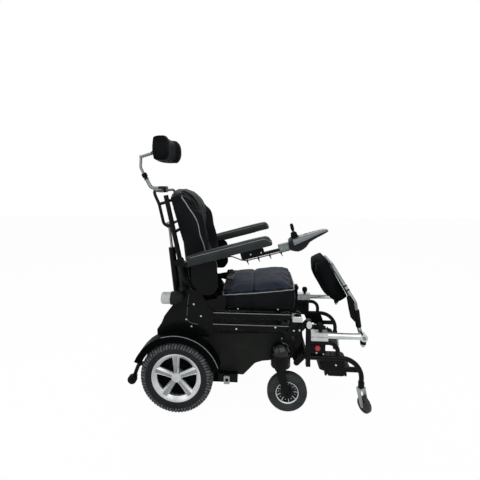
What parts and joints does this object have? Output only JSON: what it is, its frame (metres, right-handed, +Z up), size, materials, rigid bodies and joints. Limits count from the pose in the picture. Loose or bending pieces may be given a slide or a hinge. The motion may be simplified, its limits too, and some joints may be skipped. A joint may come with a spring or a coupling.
{
  "type": "standing_wheelchair",
  "caption": "Powered standing wheelchair: parallel-rail lift under the seat, reclining back, headrest, flip-up arms with joystick, knee support and lowering foot frame",
  "frame": {"origin": "on the ground under the middle of the chair's box", "axes": "+X forward, +Y to the chair's left, +Z up"},
  "size_m": [1.2829, 0.6366, 1.4393],
  "materials": {
    "frame_black": "gloss",
    "cover_black": "satin",
    "guard_black": "gloss",
    "silver_paint": "satin",
    "steel": "brushed",
    "chrome": "polished",
    "tyre_grey": "matte",
    "motor_grey": "satin",
    "battery_grey": "matte",
    "seat_navy": "woven",
    "cushion_black": "satin",
    "arm_grey": "matte",
    "belt_black": "woven",
    "control_silver": "gloss",
    "black_rubber": "matte",
    "button_green": "satin",
    "lens_clear": "clear",
    "plate_black": "ribbed",
    "wheel_grey": "matte"
  },
  "bodies": {
    "chassis": {"chassis_frame": "frame_black", "tie_downs": "steel", "batteries": "battery_grey", "drive_motors": "motor_grey", "power_module": "cover_black", "side_covers": "cover_black", "base_shell": "cover_black", "mudguards": "guard_black", "antitip_bars": "frame_black"},
    "antitip": {"antitip_rollers": "black_rubber"},
    "drive_wheel_right": {"rear_tyre_right": "tyre_grey", "rear_rim_right": "silver_paint"},
    "drive_wheel_left": {"rear_tyre_left": "tyre_grey", "rear_rim_left": "silver_paint"},
    "caster_swivel_right": {"caster_fork_right": "frame_black"},
    "caster_swivel_left": {"caster_fork_left": "frame_black"},
    "caster_wheel_right": {"caster_tyre_right": "tyre_grey", "caster_hub_right": "silver_paint"},
    "caster_wheel_left": {"caster_tyre_left": "tyre_grey", "caster_hub_left": "silver_paint"},
    "seat": {"seat_frame": "frame_black", "seat_cushion": "seat_navy", "lap_belt": "belt_black"},
    "parallel_rails": {"lower_rails": "frame_black"},
    "carrier": {"carrier_frame": "frame_black", "rear_lamps": "guard_black", "lamp_lenses": "lens_clear"},
    "back": {"back_frame": "frame_black", "back_cushion": "cushion_black", "headrest_bar": "steel"},
    "head_mast": {"headrest_mast": "chrome"},
    "headrest": {"headrest_cushion": "cushion_black"},
    "strut_tubes": {"recline_tubes": "frame_black"},
    "strut_rods": {"recline_rods": "chrome"},
    "lift_tube": {"stand_tube": "frame_black"},
    "lift_rod": {"stand_rod": "chrome"},
    "arm_right": {"arm_frame_right": "frame_black", "arm_pad_right": "arm_grey", "controller": "control_silver", "controller_cable": "black_rubber"},
    "arm_left": {"arm_frame_left": "frame_black", "arm_pad_left": "arm_grey"},
    "gimbal": {"joystick_gimbal": "cover_black"},
    "stick": {"joystick": "black_rubber"},
    "button": {"power_button": "button_green"},
    "foot_link_low": {"foot_links_lower": "frame_black"},
    "foot_link_up": {"foot_links_upper": "frame_black"},
    "footrest": {"foot_frame": "frame_black", "knee_sockets": "silver_paint"},
    "plate_right": {"foot_plate_right": "plate_black"},
    "plate_left": {"foot_plate_left": "plate_black"},
    "foot_swivel_right": {"foot_fork_right": "steel"},
    "foot_swivel_left": {"foot_fork_left": "steel"},
    "foot_roll_right": {"foot_wheel_right": "wheel_grey"},
    "foot_roll_left": {"foot_wheel_left": "wheel_grey"},
    "knee_slides": {"knee_bars": "steel"},
    "knee_pad": {"knee_hoop": "chrome", "knee_cushion": "cushion_black"},
    "knob_right": {"knee_knob_right": "cover_black"},
    "knob_left": {"knee_knob_left": "cover_black"}
  },
  "joints": [
    {"name": "antitip_spin", "type": "hinge", "parent": "chassis", "child": "antitip", "pos_m": [-0.61807, 0, 0.064], "axis": [0, 1, 0], "continuous": true},
    {"name": "drive_spin_right", "type": "hinge", "parent": "chassis", "child": "drive_wheel_right", "pos_m": [-0.32207, -0.277, 0.186], "axis": [0, 1, 0], "continuous": true},
    {"name": "caster_turn_right", "type": "hinge", "parent": "chassis", "child": "caster_swivel_right", "pos_m": [0.20493, -0.24, 0.24], "axis": [0, 0, 1], "continuous": true},
    {"name": "caster_spin_right", "type": "hinge", "parent": "caster_swivel_right", "child": "caster_wheel_right", "pos_m": [0.23893, -0.24, 0.102], "axis": [0, 1, 0], "continuous": true},
    {"name": "drive_spin_left", "type": "hinge", "parent": "chassis", "child": "drive_wheel_left", "pos_m": [-0.32207, 0.277, 0.186], "axis": [0, 1, 0], "continuous": true},
    {"name": "caster_turn_left", "type": "hinge", "parent": "chassis", "child": "caster_swivel_left", "pos_m": [0.20493, 0.24, 0.24], "axis": [0, 0, 1], "continuous": true},
    {"name": "caster_spin_left", "type": "hinge", "parent": "caster_swivel_left", "child": "caster_wheel_left", "pos_m": [0.23893, 0.24, 0.102], "axis": [0, 1, 0], "continuous": true},
    {"name": "stand_lift", "type": "hinge", "parent": "chassis", "child": "seat", "pos_m": [0.28793, 0, 0.486], "axis": [0, 1, 0], "range_deg": [0, 70]},
    {"name": "parallel_swing", "type": "hinge", "parent": "chassis", "child": "parallel_rails", "pos_m": [0.27093, 0, 0.425], "axis": [0, 1, 0], "range_deg": [0, 70]},
    {"name": "carrier_level", "type": "hinge", "parent": "seat", "child": "carrier", "pos_m": [-0.16507, 0, 0.486], "axis": [0, 1, 0], "range_deg": [-70, 0]},
    {"name": "lift_tube_tilt", "type": "hinge", "parent": "chassis", "child": "lift_tube", "pos_m": [0.22293, 0, 0.285], "axis": [0, 1, 0], "range_deg": [0, 10.6]},
    {"name": "lift_extend", "type": "slide", "parent": "lift_tube", "child": "lift_rod", "axis": [-0.1075, 0, 0.9942], "range_m": [0, 0.0905]},
    {"name": "foot_link_low_swing", "type": "hinge", "parent": "chassis", "child": "foot_link_low", "pos_m": [0.28493, 0, 0.258], "axis": [0, 1, 0], "range_deg": [0, 41.6]},
    {"name": "foot_link_up_swing", "type": "hinge", "parent": "chassis", "child": "foot_link_up", "pos_m": [0.29793, 0, 0.43], "axis": [0, 1, 0], "range_deg": [0, 41.6]},
    {"name": "footrest_level", "type": "hinge", "parent": "foot_link_low", "child": "footrest", "pos_m": [0.32798, 0, 0.304], "axis": [0, 1, 0], "range_deg": [-41.6, 0]},
    {"name": "back_recline", "type": "hinge", "parent": "carrier", "child": "back", "pos_m": [-0.23207, 0, 0.59], "axis": [0, 1, 0], "range_deg": [-25, 0]},
    {"name": "strut_tilt", "type": "hinge", "parent": "carrier", "child": "strut_tubes", "pos_m": [-0.34207, 0, 0.48], "axis": [0, 1, 0], "range_deg": [-21, 0]},
    {"name": "strut_extend", "type": "slide", "parent": "strut_tubes", "child": "strut_rods", "axis": [-0.1027, 0, 0.9947], "range_m": [-0.0595, 0]},
    {"name": "headrest_height", "type": "slide", "parent": "back", "child": "head_mast", "axis": [-0.4571, 0, 0.8894], "range_m": [0, 0.035]},
    {"name": "headrest_tilt", "type": "hinge", "parent": "head_mast", "child": "headrest", "pos_m": [-0.51907, 0, 1.345], "axis": [0, 1, 0], "range_deg": [-20, 20]},
    {"name": "arm_flip_right", "type": "hinge", "parent": "back", "child": "arm_right", "pos_m": [-0.31807, -0.249, 0.763], "axis": [0, -1, 0], "range_deg": [0, 90]},
    {"name": "arm_flip_left", "type": "hinge", "parent": "back", "child": "arm_left", "pos_m": [-0.31807, 0.249, 0.763], "axis": [0, -1, 0], "range_deg": [0, 90]},
    {"name": "stick_fore_aft", "type": "hinge", "parent": "arm_right", "child": "gimbal", "pos_m": [0.26718, -0.275, 0.89704], "axis": [0, 1, 0], "range_deg": [-18, 18], "stiffness_Nm_per_rad": 0.12},
    {"name": "stick_side", "type": "hinge", "parent": "gimbal", "child": "stick", "pos_m": [0.26718, -0.275, 0.89704], "axis": [0.9659, 0, 0.2588], "range_deg": [-18, 18], "stiffness_Nm_per_rad": 0.12},
    {"name": "power_press", "type": "slide", "parent": "arm_right", "child": "button", "axis": [0.2588, 0, -0.9659], "range_m": [0, 0.0015], "stiffness_N_per_m": 400, "springref_m": -0.0005},
    {"name": "knee_reach", "type": "slide", "parent": "footrest", "child": "knee_slides", "axis": [1, 0, 0], "range_m": [0, 0.05]},
    {"name": "knee_tilt", "type": "hinge", "parent": "knee_slides", "child": "knee_pad", "pos_m": [0.60593, 0, 0.414], "axis": [0, 1, 0], "range_deg": [0, 25]},
    {"name": "knee_knob_turn_right", "type": "hinge", "parent": "footrest", "child": "knob_right", "pos_m": [0.39793, -0.263, 0.445], "axis": [0, 0, 1], "range_deg": [-180, 180]},
    {"name": "plate_flip_right", "type": "hinge", "parent": "footrest", "child": "plate_right", "pos_m": [0.47793, -0.238, 0.213], "axis": [1, 0, 0], "range_deg": [0, 90]},
    {"name": "foot_caster_turn_right", "type": "hinge", "parent": "footrest", "child": "foot_swivel_right", "pos_m": [0.60293, -0.263, 0.16], "axis": [0, 0, 1], "continuous": true},
    {"name": "foot_caster_spin_right", "type": "hinge", "parent": "foot_swivel_right", "child": "foot_roll_right", "pos_m": [0.61393, -0.28205, 0.0795], "axis": [0.866, 0.5, 0], "continuous": true},
    {"name": "knee_knob_turn_left", "type": "hinge", "parent": "footrest", "child": "knob_left", "pos_m": [0.39793, 0.263, 0.445], "axis": [0, 0, 1], "range_deg": [-180, 180]},
    {"name": "plate_flip_left", "type": "hinge", "parent": "footrest", "child": "plate_left", "pos_m": [0.47793, 0.238, 0.213], "axis": [-1, 0, 0], "range_deg": [0, 90]},
    {"name": "foot_caster_turn_left", "type": "hinge", "parent": "footrest", "child": "foot_swivel_left", "pos_m": [0.60293, 0.263, 0.16], "axis": [0, 0, 1], "continuous": true},
    {"name": "foot_caster_spin_left", "type": "hinge", "parent": "foot_swivel_left", "child": "foot_roll_left", "pos_m": [0.61393, 0.28205, 0.0795], "axis": [0.866, -0.5, 0], "continuous": true}
  ],
  "couplings": [
    {"joint": "parallel_swing", "follows": "stand_lift", "ratio": 1},
    {"joint": "carrier_level", "follows": "stand_lift", "ratio": -1},
    {"joint": "lift_tube_tilt", "follows": "stand_lift", "ratio": 0.15012},
    {"joint": "lift_extend", "follows": "stand_lift", "m_per_rad": 0.07376},
    {"joint": "foot_link_low_swing", "follows": "stand_lift", "ratio": 0.59286},
    {"joint": "foot_link_up_swing", "follows": "stand_lift", "ratio": 0.59286},
    {"joint": "footrest_level", "follows": "stand_lift", "ratio": -0.59286},
    {"joint": "strut_tilt", "follows": "back_recline", "ratio": 0.83},
    {"joint": "strut_extend", "follows": "back_recline", "m_per_rad": 0.1357}
  ]
}
